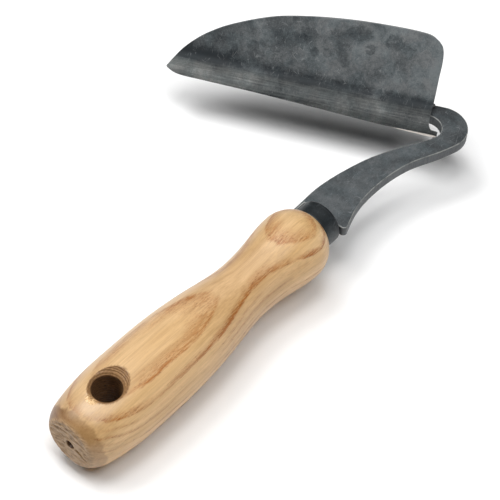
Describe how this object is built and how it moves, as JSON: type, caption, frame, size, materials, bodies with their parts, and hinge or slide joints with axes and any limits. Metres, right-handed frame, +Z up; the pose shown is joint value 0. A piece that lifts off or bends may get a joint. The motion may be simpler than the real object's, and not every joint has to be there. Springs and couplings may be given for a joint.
{
  "type": "hand sickle",
  "caption": "One-hand sickle with a turned ash handle, a flat hooked steel shank and a short folded blade for cutting grass and weeds.",
  "frame": {"origin": "centre of the hanging hole in the handle, on the handle's axis", "axes": "+Y along the handle from the butt to the blade, +Z up and square to the flat shank plate, +X to the right as seen with the blade pointing left"},
  "size_m": [0.1232, 0.2404, 0.0471],
  "materials": {
    "ash_wood": "oiled ash, open grain, satin",
    "cap_steel": "blued, satin",
    "plate_steel": "mottled dark mill scale, satin, worn edges",
    "blade_steel": "mottled dark patina with round blotches and fine scratches",
    "weld_metal": "dark rippled weld bead"
  },
  "bodies": {
    "root": {"handle": "ash_wood", "ferrule": "cap_steel", "shank": "plate_steel", "blade": "blade_steel", "weld_rear": "weld_metal", "weld_toe": "weld_metal"}
  },
  "joints": []
}
